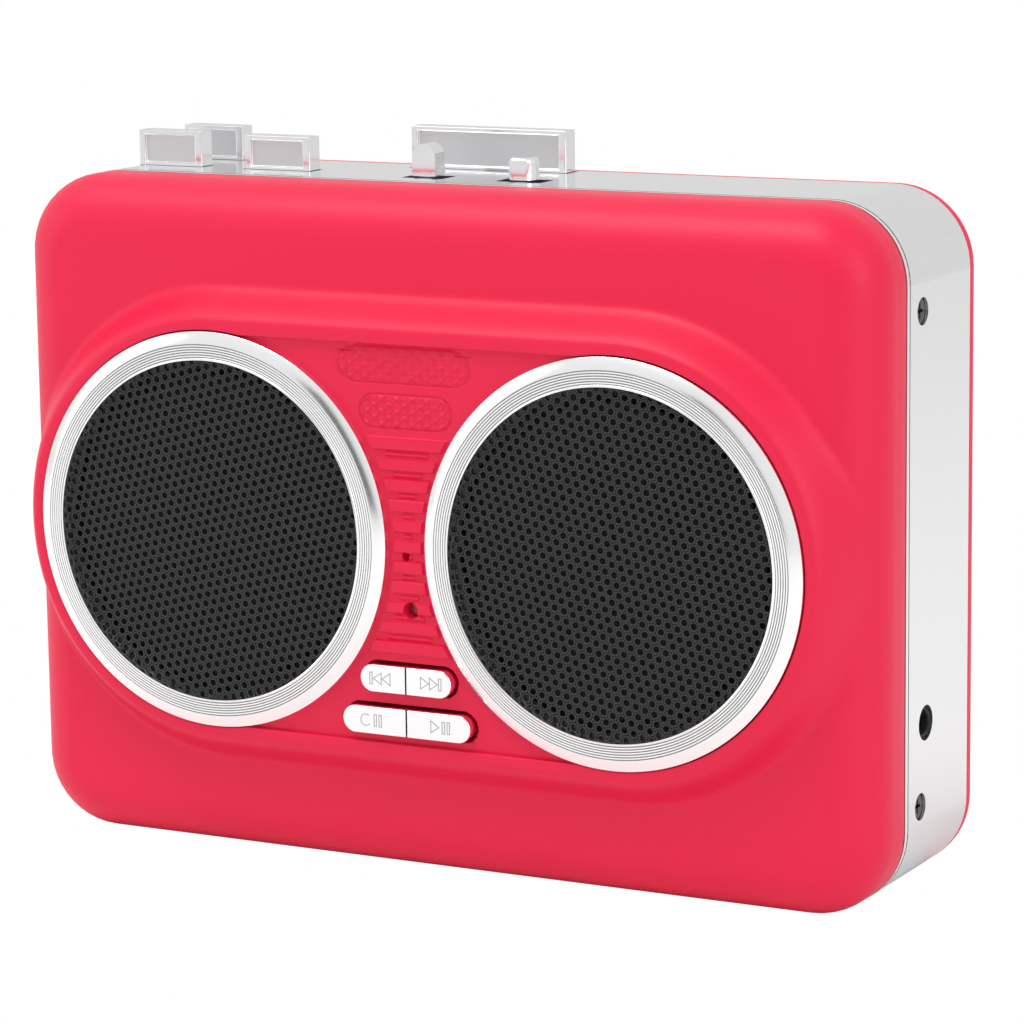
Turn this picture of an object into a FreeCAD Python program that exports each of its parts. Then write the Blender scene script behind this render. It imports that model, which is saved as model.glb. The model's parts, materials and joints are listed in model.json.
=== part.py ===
import FreeCAD, Part
import math
import os

# Portable cassette player with two front speakers, in millimetres.
# X runs to the right seen from the front, the front faces -Y, Z is up.
# The origin is under the middle of the case, on the surface it stands on.

# ---- driving dimensions -------------------------------------------------
case_width = 120.0
case_height = 86.5
corner_radius = 10.0
wall = 2.0

ring_proud = 1.0          # speaker ring lip in front of the pod rim
pod_rise = 4.8            # pod rim in front of the cover's base face
front_depth = 10.5        # base face to band
band_depth = 20.0
rear_depth = 3.2
front_edge_fillet = 7.0
rear_edge_fillet = 2.4

speaker_x = 28.06
ring_outer = 25.33
ring_inner = 21.7
lip_width = 1.6
pod_rim_radius = 27.0
pod_foot_radius = 31.9
pod_foot_depth = 5.8      # rim to the foot of the sloping side
panel_recess = 0.8
panel_reach = 25.05       # half the panel's height
web_thickness = 1.5
grille_thickness = 0.4
grille_overlap = 0.8
grille_pitch = 2.3
grille_hole = 0.7
web_opening = 20.9
speaker_radius = 22.5
basket_depth = 6.0
magnet_radius = 10.0
magnet_depth = 3.0

clearance = 0.3           # sliding pieces and covers
running = 0.05            # radial clearance of shafts in their holes
seat = 0.1                # parts that are laid or pushed in

key_travel = 3.0
play_travel = 4.5
flange_lip = 0.5
flange_thickness = 1.9
button_travel = 0.4
button_clearance = 0.2
switch_travel = 1.0

cassette_width = 101.4    # a compact cassette with room round it
cassette_height = 64.0
cassette_depth = 12.2
cassette_foot = 8.4
reel_spacing = 42.5
reel_height = 37.8
capstan_x = 22.0
capstan_z = 66.0
shaft_radius = 1.0

deck_thickness = 1.0
board_thickness = 1.2
flywheel_radius = 15.0
flywheel_hub = 3.0
reel_wheel = 9.0
motor_x = -41.0
motor_z = 62.0
motor_radius = 12.0
motor_depth = 6.0
pulley_groove = 2.6
flywheel_groove = 14.2
belt_width = 1.0
belt_thickness = 0.6
groove_half = 0.7         # half the width of the belt's groove
motor_shaft = 0.75

cell_diameter = 10.5
cell_length = 44.5
jack_bore = 1.8
jack_z = 22.4
screw_radius = 1.0
screw_head = 1.6
low_screw = 12.2
high_screw_drop = 13.4    # upper side screws below the top of the case
screw_sunk = 1.2          # seat of the side screws' heads below the band
screw_head_height = 0.8
screw_slot = (0.2, 0.9)   # half width and half length of the crossed slot
screw_slot_depth = 0.5
flat_head = 1.9
hinge_pin = 0.6
hinge_barrel = 1.4
door_swing = 80.0
door_corner = 5.0
window_corner = 3.0
window_lap = 1.0          # how far the window reaches behind the door's edge

spring_radius = 1.5
spring_wire = 0.3
spring_turns = 4
contact_spring_radius = 2.4
contact_spring_turns = 3

# ---- planes and lines worked out from them ------------------------------
half_width = case_width / 2
half_depth = (ring_proud + pod_rise + front_depth + band_depth + rear_depth) / 2
lip_y = -half_depth
rim_y = lip_y + ring_proud
panel_y = rim_y + panel_recess
web_back_y = panel_y + web_thickness
base_y = rim_y + pod_rise
cover_inner_y = base_y + wall
band_front_y = base_y + front_depth
band_back_y = band_front_y + band_depth
rear_y = half_depth
speaker_z = case_height / 2
inner_half = half_width - wall
inner_top = case_height - wall
screw_heights = (low_screw, case_height - high_screw_drop)

door_inner_y = rear_y - wall
bay_top = cassette_foot + cassette_height
deck_back_y = door_inner_y - 0.35 - cassette_depth
deck_front_y = deck_back_y - deck_thickness
basket_back_y = web_back_y + basket_depth
magnet_back_y = basket_back_y + magnet_depth
board_front_y = magnet_back_y + 0.8
board_back_y = board_front_y + board_thickness
belt_y = board_back_y + 2.0
flywheel_front_y = belt_y - 1.3
flywheel_back_y = belt_y + 2.2
wheel_back_y = deck_front_y - 1.0
wheel_front_y = wheel_back_y - 2.0
spindle_tip_y = deck_back_y + 6.3
capstan_tip_y = deck_back_y + 7.4
tape_y = deck_back_y + cassette_depth / 2

lower_ledge = (27.0, 32.0)
upper_ledge = (62.0, 67.0)
ledge_inner = 53.4
deck_half = inner_half - 0.4
deck_top = bay_top + 2.6
deck_ear_top = deck_top + 4.5
guide_low = deck_top + 0.2
guide_high = guide_low + 1.0
well_inner = cassette_width / 2 + 0.6
well_wall = 1.2
flange_top = inner_top - 0.5
flange_low = flange_top - flange_thickness
band_mid_y = (band_front_y + band_back_y) / 2
screw_y = band_front_y + 4.8
jack_half = 2.25
jack_y = deck_back_y - jack_half
jack_length = 14.0
jack_inner = inner_half - jack_length
tab_inner = inner_half - 3.1
tab_half = 2.5

tray_wall = 1.0
tray_left = -well_inner + 0.1
contact_thickness = 0.5
spring_room = 3.0
tray_right = tray_left + 2 * cell_length + 2 * contact_thickness + spring_room
cell_radius = cell_diameter / 2
cell_z = cassette_foot + 0.6 + cell_radius
cell_y = deck_front_y - 0.7 - cell_radius
tray_back_y = deck_front_y - clearance
lid_low = cassette_foot + 0.1
lid_high = cell_z + cell_radius + 1.4
deck_low = lid_high + 0.4
deck_jack_low = jack_z + jack_half + 0.5

key_depth = 2.7
key_row = band_front_y + 7.0
rear_key_row = band_front_y + 16.4
# name: x low, x high, front y, height above the case, travel
keys = {
    "rewind_key": (-51.6, -42.0, key_row, 4.6, key_travel),
    "forward_key": (-35.4, -25.7, key_row, 4.4, key_travel),
    "stop_key": (-50.5, -41.5, rear_key_row, 4.5, key_travel),
    "play_key": (-15.9, 6.5, rear_key_row, 5.4, play_travel),
}
upper_buttons = speaker_z - 16.75
lower_buttons = speaker_z - 22.15
# name: outer end, centre height, outward direction
buttons = {
    "previous_button": (6.4, upper_buttons, -1),
    "next_button": (6.4, upper_buttons, 1),
    "loop_button": (9.0, lower_buttons, -1),
    "pause_button": (9.0, lower_buttons, 1),
}
button_height = 3.5
button_split = 0.45
button_proud = 0.7
switch_half = (3.9, 2.0)  # half length and half depth of a switch body
switch_y = deck_back_y - switch_half[1]
# name: centre x, centre y, height above the case, width, form
switch_knobs = {
    "function_knob": (-8.0, switch_y - 0.05, 4.3, 3.3, "arched"),
    "tone_knob": (5.6, switch_y + 0.05, 3.0, 3.8, "round"),
}

# ---- places that several pieces share -----------------------------------
boss_x = tab_inner - flat_head
board_bosses = [(side * boss_x, z) for side in (-1, 1) for z in (28.0, case_height - 10.5)]
deck_screws = [(side * 55.6, sum(z) / 2) for side in (-1, 1) for z in (lower_ledge, upper_ledge)]
microphone_at = (-0.4, speaker_z - 1.35)
indicator_at = (0.3, speaker_z - 8.05)
button_board_y = web_back_y + 2.2
guide_right = -11.2
head_top = flange_low - clearance

door_half = 54.0
door_low = 7.0
door_high = 75.5
hinge_y = rear_y - hinge_barrel
hinge_z = door_low + hinge_barrel
window_half = 31.0
window_z = (24.0, 54.0)
window_thickness = 1.0
tongue_x = (42.0, 50.0)
tongue_z = (bay_top + 1.2, bay_top + 2.2)

spindle_radius = 3.2
bearing_radius = 2.6
reel_gap = 0.05
takeup_x = reel_spacing / 2
train_dx = takeup_x - capstan_x
train_dz = reel_height - capstan_z
train_length = math.hypot(train_dx, train_dz)
idler_radius = (train_length - flywheel_hub - reel_wheel - 2 * reel_gap) / 2
idler_share = (flywheel_hub + reel_gap + idler_radius) / train_length
idler_at = (capstan_x + idler_share * train_dx, capstan_z + idler_share * train_dz)

pinch_radius = 3.5
pinch_arm_length = 14.0
pinch_pivot = (capstan_x + 14.0, capstan_z + 8.0)
pinch_rise = bay_top + 0.4 + pinch_radius - pinch_pivot[1]
pinch_run = math.sqrt(pinch_arm_length ** 2 - pinch_rise ** 2)
pinch_centre = (pinch_pivot[0] - pinch_run, pinch_pivot[1] + pinch_rise)


# ---- shape helpers ------------------------------------------------------
def box(x, y, z):
    """A block between the low and high values given for each axis."""
    corner = FreeCAD.Vector(x[0], y[0], z[0])
    return Part.makeBox(x[1] - x[0], y[1] - y[0], z[1] - z[0], corner)


def rod(axis, at, radius, span):
    """A cylinder along X, Y or Z. `at` holds the two other coordinates."""
    start = {"x": (span[0], at[0], at[1]),
             "y": (at[0], span[0], at[1]),
             "z": (at[0], at[1], span[0])}[axis]
    along = {"x": (1, 0, 0), "y": (0, 1, 0), "z": (0, 0, 1)}[axis]
    return Part.makeCylinder(radius, span[1] - span[0], FreeCAD.Vector(*start), FreeCAD.Vector(*along))


def edges_along(shape, axis):
    """The straight edges that run along one axis."""
    return [e for e in shape.Edges
            if isinstance(e.Curve, Part.Line) and abs(getattr(e.Curve.Direction, axis)) > 0.999]


def edges_in_plane(shape, y):
    """The edges that lie in the plane at this y."""
    return [e for e in shape.Edges
            if abs(e.BoundBox.YMin - y) < 1e-4 and abs(e.BoundBox.YMax - y) < 1e-4]


def rounded_plate(x, y, z, radius):
    """A block whose four edges along Y are rounded."""
    plate = box(x, y, z)
    return plate.makeFillet(radius, edges_along(plate, "y"))


def case_plate(inset, y):
    """A slice of the case's outline, drawn in by `inset`."""
    span = (-half_width + inset, half_width - inset)
    return rounded_plate(span, y, (inset, case_height - inset), corner_radius - inset)


def loop_wire(first, second, y):
    """An open belt's outline: two circles (x, z, radius) joined by tangent lines."""
    dx, dz = second[0] - first[0], second[1] - first[1]
    tilt = math.acos((first[2] - second[2]) / math.hypot(dx, dz))
    heading = math.atan2(dz, dx)

    def on(circle, angle):
        return FreeCAD.Vector(circle[0] + circle[2] * math.cos(angle), y,
                              circle[1] + circle[2] * math.sin(angle))

    high, low = heading + tilt, heading - tilt
    edges = [Part.LineSegment(on(first, high), on(second, high)).toShape(),
             Part.Arc(on(second, high), on(second, heading), on(second, low)).toShape(),
             Part.LineSegment(on(second, low), on(first, low)).toShape(),
             Part.Arc(on(first, low), on(first, heading + math.pi), on(first, high)).toShape()]
    return Part.Wire(edges)


def loop_prism(first, second, y):
    """A solid with the outline of loop_wire between two y planes."""
    return Part.Face(loop_wire(first, second, y[0])).extrude(FreeCAD.Vector(0, y[1] - y[0], 0))


def pod_circles(radius):
    return (-speaker_x, speaker_z, radius), (speaker_x, speaker_z, radius)


def turned(profile, x, z):
    """A solid of revolution about the Y axis through (x, z). `profile` lists (radius, y)."""
    points = [FreeCAD.Vector(x + r, y, z) for r, y in profile]
    face = Part.Face(Part.makePolygon(points + points[:1]))
    return face.revolve(FreeCAD.Vector(x, 0, z), FreeCAD.Vector(0, 1, 0), 360)


def coil(axis, at, radius, wire, span, turns):
    """A coil spring of round wire between two ends along X or Z."""
    length = span[1] - span[0] - 2 * wire
    helix = Part.makeHelix(length / turns, length, radius)
    start = Part.Wire(Part.makeCircle(wire, FreeCAD.Vector(radius, 0, 0), FreeCAD.Vector(0, 1, 0)))
    spring = Part.Wire(helix).makePipeShell([start], True, True)
    if axis == "x":
        spring.rotate(FreeCAD.Vector(0, 0, 0), FreeCAD.Vector(0, 1, 0), 90)
        spring.translate(FreeCAD.Vector(span[0] + wire, at[0], at[1]))
    else:
        spring.translate(FreeCAD.Vector(at[0], at[1], span[0] + wire))
    return spring


def save(name, *solids):
    """Write one node: a single solid, or a group of separate ones."""
    shape = solids[0] if len(solids) == 1 else Part.makeCompound(list(solids))
    shape.exportStep("parts/" + name + ".step")


# ---- case ---------------------------------------------------------------
def button_prism(name, grow, y):
    """Half a pill, cut straight at the middle and round at its outer end."""
    outer, height, side = buttons[name]
    radius = button_height / 2
    pill = loop_prism((0, height, radius + grow), (side * (outer - radius), height, radius + grow), y)
    middle = button_split / 2 - grow
    ends = sorted((side * middle, side * (outer + 2 * grow + 1)))
    return pill.common(box(ends, y, (height - button_height, height + button_height)))


def front_cover():
    shell = case_plate(0, (base_y, band_front_y))
    shell = shell.makeFillet(front_edge_fillet, edges_in_plane(shell, base_y))
    foot_y = rim_y + pod_foot_depth
    slope = Part.makeLoft([loop_wire(*pod_circles(pod_rim_radius), rim_y),
                           loop_wire(*pod_circles(pod_foot_radius), foot_y)], True, True)
    skirt = loop_prism(*pod_circles(pod_foot_radius), (foot_y, base_y + front_edge_fillet))
    shell = shell.fuse([slope, skirt])
    hollow = case_plate(wall, (cover_inner_y, band_front_y))
    hollow = hollow.makeFillet(front_edge_fillet - wall, edges_in_plane(hollow, cover_inner_y))
    room = loop_prism(*pod_circles(pod_rim_radius - wall), (web_back_y, cover_inner_y + 1))
    shell = shell.cut([hollow, room])
    panel_z = (speaker_z - panel_reach, speaker_z + panel_reach)
    cuts = [box((-speaker_x, speaker_x), (rim_y, panel_y), panel_z)]
    for x in (-speaker_x, speaker_x):
        cuts.append(rod("y", (x, speaker_z), ring_outer + seat, (rim_y, panel_y)))
        cuts.append(rod("y", (x, speaker_z), web_opening, (panel_y, web_back_y)))
    for name in buttons:
        cuts.append(button_prism(name, button_clearance, (panel_y, web_back_y)))
    cuts.append(rod("y", microphone_at, 0.5, (panel_y, web_back_y)))
    cuts.append(rod("y", indicator_at, 0.95, (panel_y, web_back_y)))
    shell = shell.cut(cuts)
    extras = [rod("y", at, 2.5, (cover_inner_y - 0.5, board_front_y)) for at in board_bosses]
    for side in (-1, 1):
        for height in screw_heights:
            z = (height - tab_half, height + tab_half)
            root = sorted((side * tab_inner, side * (inner_half + 0.5)))
            tongue = sorted((side * tab_inner, side * (inner_half - seat)))
            extras.append(box(root, (band_front_y - 5, band_front_y), z))
            extras.append(box(tongue, (band_front_y - 5, deck_front_y - clearance), z))
    shell = shell.fuse(extras)
    holes = [rod("y", at, screw_radius, (board_front_y - 4, board_front_y)) for at in board_bosses]
    for side in (-1, 1):
        for height in screw_heights:
            span = sorted((side * (tab_inner - 1), side * inner_half))
            holes.append(rod("x", (screw_y, height), screw_radius, span))
    return shell.cut(holes).removeSplitter()


def key_box(name, grow, z):
    x_low, x_high, front = keys[name][:3]
    return box((x_low - grow, x_high + grow), (front - grow, front + key_depth + grow), z)


def middle_frame():
    y = (band_front_y, band_back_y)
    frame = case_plate(0, y).cut(case_plate(wall, y))
    ledges = []
    for side in (-1, 1):
        for z in (lower_ledge, upper_ledge):
            span = sorted((side * ledge_inner, side * (inner_half + 0.5)))
            ledges.append(box(span, (band_front_y, deck_front_y), z))
    frame = frame.fuse(ledges)
    cuts = [key_box(name, clearance, (inner_top - 1, case_height)) for name in keys]
    for x, y, height, width, form in switch_knobs.values():
        reach = width / 2 + switch_travel + clearance
        side = min(width / 2, switch_half[1] - 0.4) + clearance
        cuts.append(box((x - reach, x + reach), (y - side, y + side), (inner_top - 1, case_height)))
    for side in (-1, 1):
        for height in screw_heights:
            through = sorted((side * (inner_half - 1), side * half_width))
            head = sorted((side * (half_width - 1.2), side * half_width))
            cuts.append(rod("x", (screw_y, height), screw_radius + seat, through))
            cuts.append(rod("x", (screw_y, height), screw_head + seat, head))
    cuts.append(rod("x", (jack_y, jack_z), 2.2, (inner_half - 1, half_width)))
    for at in deck_screws:
        cuts.append(rod("y", at, screw_radius, (deck_front_y - 4, deck_front_y)))
    return frame.cut(cuts).removeSplitter()


def door_outline(grow, y):
    x = (-door_half - grow, door_half + grow)
    return rounded_plate(x, y, (door_low - grow, door_high + grow), door_corner + grow)


def rear_cover():
    cover = case_plate(0, (band_back_y, rear_y))
    cover = cover.makeFillet(rear_edge_fillet, edges_in_plane(cover, rear_y))
    cover = cover.cut(door_outline(clearance, (band_back_y, rear_y)))
    leaf_z = tongue_z[1] + clearance
    leaf = box(tongue_x, (tape_y + 1.5, band_back_y - seat), (leaf_z, leaf_z + 0.5))
    leaf_back = box(tongue_x, (band_back_y - 0.6, band_back_y), (leaf_z, leaf_z + 5))
    cover = cover.fuse([leaf, leaf_back])
    trench = door_half + clearance
    # the flat below the barrel sweeps this far out when the door swings
    trench_radius = hinge_barrel / math.cos(math.radians(door_swing / 2)) + clearance
    return cover.cut([rod("x", (hinge_y, hinge_z), trench_radius, (-trench, trench)),
                      rod("x", (hinge_y, hinge_z), hinge_pin, (-door_half - wall, door_half + wall))])


def cassette_door():
    door = door_outline(0, (door_inner_y, rear_y))
    foot = box((-half_width, half_width), (door_inner_y, rear_y), (door_low, hinge_z))
    barrel = rod("x", (hinge_y, hinge_z), hinge_barrel, (-door_half, door_half))
    tongue = box(tongue_x, (tape_y + 2.0, door_inner_y), tongue_z)
    door = door.cut(foot).fuse([barrel, tongue])
    seat_y = (door_inner_y, door_inner_y + window_thickness)
    seat_x = (-window_half - window_lap, window_half + window_lap)
    seat_z = (window_z[0] - window_lap, window_z[1] + window_lap)
    cuts = [rounded_plate(seat_x, seat_y, seat_z, window_corner + window_lap),
            rounded_plate((-window_half, window_half), (door_inner_y, rear_y), window_z, window_corner),
            rod("x", (hinge_y, hinge_z), hinge_pin + running, (-door_half, door_half))]
    return door.cut(cuts).removeSplitter()


def door_window():
    y = (door_inner_y, door_inner_y + window_thickness)
    edge = window_lap - seat
    return rounded_plate((-window_half - edge, window_half + edge), y,
                         (window_z[0] - edge, window_z[1] + edge), window_corner + edge)


def side_screws():
    """Screws with a crossed slot, driven in from both sides of the band."""
    seat_x = half_width - screw_sunk
    face_x = seat_x + screw_head_height
    narrow, wide = screw_slot
    screws = []
    for side in (-1, 1):
        for height in screw_heights:
            at = (screw_y, height)
            shank = rod("x", at, screw_radius, sorted((side * (tab_inner + clearance), side * seat_x)))
            head = rod("x", at, screw_head, sorted((side * seat_x, side * face_x)))
            slot_x = sorted((side * (face_x - screw_slot_depth), side * half_width))
            cross = [box(slot_x, (screw_y - a, screw_y + a), (height - b, height + b))
                     for a, b in ((narrow, wide), (wide, narrow))]
            screws.append(shank.fuse(head).cut(cross))
    return screws


def flat_screws(places, face_y, depth):
    """Screws driven forwards, their heads on the face at face_y."""
    screws = []
    for at in places:
        shank = rod("y", at, screw_radius, (face_y - depth, face_y))
        screws.append(shank.fuse(rod("y", at, flat_head, (face_y, face_y + screw_head_height))))
    return screws


# ---- speakers -----------------------------------------------------------
def speaker_ring(x):
    step_y = panel_y - grille_thickness
    seat_radius = ring_inner + grille_overlap + seat
    profile = [(ring_inner, lip_y), (ring_inner + lip_width, lip_y), (ring_outer, rim_y - 0.3),
               (ring_outer, panel_y), (seat_radius, panel_y), (seat_radius, step_y), (ring_inner, step_y)]
    return turned(profile, x, speaker_z)


def speaker_grille():
    """A punched sheet disc with its holes in staggered rows, centred on the Y axis."""
    forward = FreeCAD.Vector(0, 1, 0)
    edge = Part.makeCircle(ring_inner + grille_overlap, FreeCAD.Vector(0, 0, 0), forward)
    wires = [Part.Wire(edge)]
    row_step = grille_pitch * math.sqrt(3) / 2
    reach = ring_inner - 2 * grille_hole
    rows = int(reach / row_step)
    for row in range(-rows, rows + 1):
        shift = 0.5 * (row % 2)
        for column in range(-rows, rows + 1):
            x = (column + shift) * grille_pitch
            z = row * row_step
            if math.hypot(x, z) < reach:
                centre = FreeCAD.Vector(x, 0, z)
                wires.append(Part.Wire(Part.makeCircle(grille_hole, centre, forward)))
    sheet = Part.makeFace(wires, "Part::FaceMakerBullseye")
    return sheet.extrude(FreeCAD.Vector(0, grille_thickness, 0))


def speaker_basket(x):
    y0, y1 = web_back_y, basket_back_y
    profile = [(speaker_radius, y0), (speaker_radius, y0 + 0.8), (speaker_radius - 2.0, y0 + 0.8),
               (magnet_radius + 3, y1), (4.0, y1), (4.0, y1 - 0.8), (magnet_radius + 2.6, y1 - 0.8),
               (speaker_radius - 2.8, y0 + 0.5), (speaker_radius - 2.2, y0)]
    return turned(profile, x, speaker_z)


def speaker_cone(x):
    y0 = web_back_y + 0.2
    edge = speaker_radius - 3.0
    profile = [(edge, y0), (edge - 2.5, y0 - 0.1), (6.2, y0 + 3.4), (3.0, y0 + 2.4), (0, y0 + 2.0),
               (0, y0 + 2.4), (2.8, y0 + 2.8), (6.0, y0 + 3.9), (edge - 2.6, y0 + 0.4), (edge, y0 + 0.3)]
    return turned(profile, x, speaker_z)


def speaker_magnet(x):
    y = (basket_back_y, magnet_back_y)
    pole = rod("y", (x, speaker_z), 3.8, (basket_back_y - 0.6, basket_back_y))
    return rod("y", (x, speaker_z), magnet_radius, y).fuse(pole)


# ---- controls -----------------------------------------------------------
def button(name):
    back_y = web_back_y + 0.1
    cap = button_prism(name, 0, (rim_y - button_proud, back_y))
    front = edges_in_plane(cap, rim_y - button_proud)
    cap = cap.makeFillet(0.4, front)
    outer, height, side = buttons[name]
    span = sorted((side * button_split / 2, side * (outer + 0.4)))
    reach = button_height / 2 + 0.4
    flange = box(span, (back_y, back_y + 0.35), (height - reach, height + reach))
    return cap.fuse(flange)


def tact_switches():
    board_y = button_board_y
    switches = []
    for outer, height, side in buttons.values():
        x = side * outer * 0.55
        body = box((x - 2, x + 2), (board_y - 1.15, board_y), (height - 1.5, height + 1.5))
        plunger_tip = web_back_y + 0.1 + 0.35 + button_travel + 0.05
        switches.append(body.fuse(rod("y", (x, height), 0.7, (plunger_tip, board_y - 1))))
    return switches


def button_board():
    y = (button_board_y, button_board_y + 1.0)
    low = speaker_z - pod_rim_radius + wall + clearance
    shoulder = upper_buttons + 3.5
    board = box((-11.5, 11.5), y, (low, shoulder))
    return board.fuse(box((-4.2, 4.2), y, (shoulder, microphone_at[1] + 4.1)))


def key(name):
    cap = key_box(name, 0, (flange_low, case_height + keys[name][3]))
    top = [e for e in cap.Edges if e.BoundBox.ZMin > flange_low + 1]
    cap = cap.makeFillet(0.6, top + edges_along(cap, "z"))
    return cap.fuse(key_box(name, flange_lip, (flange_low, flange_top))).removeSplitter()


def key_spring_place(name):
    x_low, x_high, front = keys[name][:3]
    x = x_low + 2.2 if name == "play_key" else (x_low + x_high) / 2
    return x, front + key_depth / 2


def key_guide():
    """The shelf under the keys that their springs stand on."""
    back = rear_key_row + key_depth + flange_lip
    shelf = box((-inner_half + 5.0, guide_right), (deck_front_y - 1.8, back), (guide_low, guide_high))
    cups = [rod("z", key_spring_place(name), 0.9, (guide_high, guide_high + 1.2)) for name in keys]
    return shelf.fuse(cups)


def switch_knob(name):
    x, y, height, width, form = switch_knobs[name]
    half = width / 2
    top = case_height + height
    if form == "round":
        post = rod("z", (x, y), half, (case_height + 0.2, top))
        side = switch_half[1] - 0.4
        post = post.common(box((x - half, x + half), (y - side, y + side), (case_height, top)))
        post = post.makeFillet(0.6, [e for e in post.Edges if e.BoundBox.ZMin > top - 0.1])
    else:
        arch = rod("y", (x, top - half), half, (y - 1.3, y + 1.3))
        post = arch.fuse(box((x - half, x + half), (y - 1.3, y + 1.3), (case_height + 0.2, top - half)))
    stem = box((x - 0.9, x + 0.9), (y - 0.9, y + 0.9), (inner_top - 1.2, case_height + 0.3))
    slider = box((x - 1.2, x + 1.2), (y - 1.2, y + 1.2), (inner_top - 2.2, inner_top - 1.2))
    return post.fuse([stem, slider]).removeSplitter()


def switch_body(name):
    x, y = switch_knobs[name][:2]
    half_x, half_y = switch_half
    body = box((x - half_x, x + half_x), (y - half_y, y + half_y), (inner_top - 4.6, inner_top))
    pocket = box((x - 2.6, x + 2.6), (y - 1.5, y + 1.5), (inner_top - 2.5, inner_top - 0.9))
    mouth = box((x - 2.3, x + 2.3), (y - 1.2, y + 1.2), (inner_top - 1, inner_top))
    return body.cut([pocket, mouth])


# ---- electronics and power ----------------------------------------------
def main_board():
    board = box((-tab_inner + 0.4, tab_inner - 0.4), (board_front_y, board_back_y), (deck_low + 0.6, inner_top - 4.5))
    return board.cut([rod("y", at, screw_radius, (board_front_y, board_back_y)) for at in board_bosses])


def board_chips():
    """Sound processor, amplifier and four tall capacitors."""
    back = board_back_y
    chips = [box((-22, -13), (back, back + 1.2), (44, 53)),
             box((-8, -3), (back, back + 1.2), (26, 32)),
             box((44, 50), (back, back + 1.2), (40, 45))]
    chips += [rod("y", (51, z), 1.6, (back, back + 2.2)) for z in (50, 57)]
    chips += [rod("y", (-52, z), 2.0, (back, back + 3)) for z in (36, 43)]
    return chips


def audio_jack():
    span = (jack_inner, inner_half)
    body = box(span, (jack_y - jack_half, jack_y + jack_half), (jack_z - jack_half, jack_z + jack_half))
    return body.cut(rod("x", (jack_y, jack_z), jack_bore, (jack_inner + 1, inner_half)))


def battery_tray():
    tray = box((tray_left - tray_wall, tray_right + tray_wall), (cell_y - cell_radius - 1.2, tray_back_y),
               (cell_z - cell_radius - 1.0, cell_z + cell_radius + 1.0))
    return tray.cut(box((tray_left, tray_right), (cell_y - cell_radius - 0.2, tray_back_y),
                        (cell_z - cell_radius - 0.2, cell_z + cell_radius + 0.2)))


def battery_cells():
    start = tray_left + contact_thickness
    cells = []
    for index in range(2):
        left = start + index * cell_length
        can = rod("x", (cell_y, cell_z), cell_radius, (left, left + cell_length - 1.0))
        tip = rod("x", (cell_y, cell_z), 1.9, (left + cell_length - 1.0, left + cell_length))
        cells.append(can.fuse(tip))
    return cells


def battery_contacts():
    """The two plates, and the spring that presses the cells together."""
    half = cell_radius - 1.0
    y = (cell_y - half, cell_y + half)
    z = (cell_z - half, cell_z + half)
    plates = [box((tray_left, tray_left + contact_thickness), y, z),
              box((tray_right - contact_thickness, tray_right), y, z)]
    end = tray_right - contact_thickness
    span = (end - spring_room, end)
    spring = coil("x", (cell_y, cell_z), contact_spring_radius, spring_wire, span, contact_spring_turns)
    return plates + [spring]


def battery_lid():
    lid = box((tray_left + 0.2, tray_right + 1.4), (deck_front_y, deck_back_y), (lid_low, lid_high))
    grip = box((-6, 6), (deck_back_y - 0.5, deck_back_y), (lid_high - 3.5, lid_high - 1.5))
    return lid.cut(grip)


# ---- tape mechanism -----------------------------------------------------
def deck_plate():
    y = (deck_front_y, deck_back_y)
    notch_x = tray_right + 1.8
    deck = box((-deck_half, notch_x), y, (deck_low, deck_top))
    deck = deck.fuse([box((notch_x, deck_half), y, (deck_jack_low, deck_top)),
                      box((guide_right + 20, deck_half), y, (deck_top, deck_ear_top))])
    cuts = [rod("y", at, screw_radius, y) for at in deck_screws]
    for side in (-1, 1):
        cuts.append(rod("y", (side * reel_spacing / 2, reel_height), spindle_radius + running, y))
    cuts += [rod("y", (capstan_x, capstan_z), bearing_radius, y),
             rod("y", idler_at, shaft_radius + running, y),
             box((-16, 16), y, (45.0, 52.0))]
    pin = rod("y", pinch_pivot, shaft_radius - 0.3, (deck_front_y, deck_back_y + clearance + 1.6))
    return deck.cut(cuts).fuse(pin).removeSplitter()


def cassette_well():
    """Two side walls and a sill that guide the cassette."""
    y = (deck_back_y, band_back_y - 0.2)
    outer = box((-well_inner - well_wall, well_inner + well_wall), y, (cassette_foot - 1.4, bay_top + 0.6))
    inner = box((-well_inner, well_inner), y, (cassette_foot - 0.2, bay_top + 1))
    return outer.cut(inner)


def flywheel():
    edge = flywheel_radius
    low, high = belt_y - groove_half, belt_y + groove_half
    profile = [(shaft_radius, flywheel_front_y), (edge, flywheel_front_y), (edge, low),
               (flywheel_groove, low), (flywheel_groove, high), (edge, high),
               (edge, flywheel_back_y), (flywheel_hub, flywheel_back_y), (flywheel_hub, wheel_back_y),
               (shaft_radius, wheel_back_y)]
    return turned(profile, capstan_x, capstan_z)


def capstan_bearing():
    at = (capstan_x, capstan_z)
    collar = rod("y", at, bearing_radius, (wheel_back_y + 0.3, deck_back_y + 2.5))
    return collar.cut(rod("y", at, shaft_radius + running, (wheel_back_y, deck_back_y + 3)))


def motor_body():
    at = (motor_x, motor_z)
    front = deck_front_y - motor_depth
    body = rod("y", at, motor_radius, (front, deck_front_y))
    return body.cut(rod("y", at, motor_shaft + running, (front, deck_front_y - 1)))


def motor_pulley():
    front, back = belt_y - 1.2, belt_y + 1.2
    rim = pulley_groove + 0.6
    tip = deck_front_y - 2
    profile = [(0, front), (rim, front), (rim, belt_y - groove_half), (pulley_groove, belt_y - groove_half),
               (pulley_groove, belt_y + groove_half), (rim, belt_y + groove_half), (rim, back),
               (motor_shaft, back), (motor_shaft, tip), (0, tip)]
    return turned(profile, motor_x, motor_z)


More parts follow.
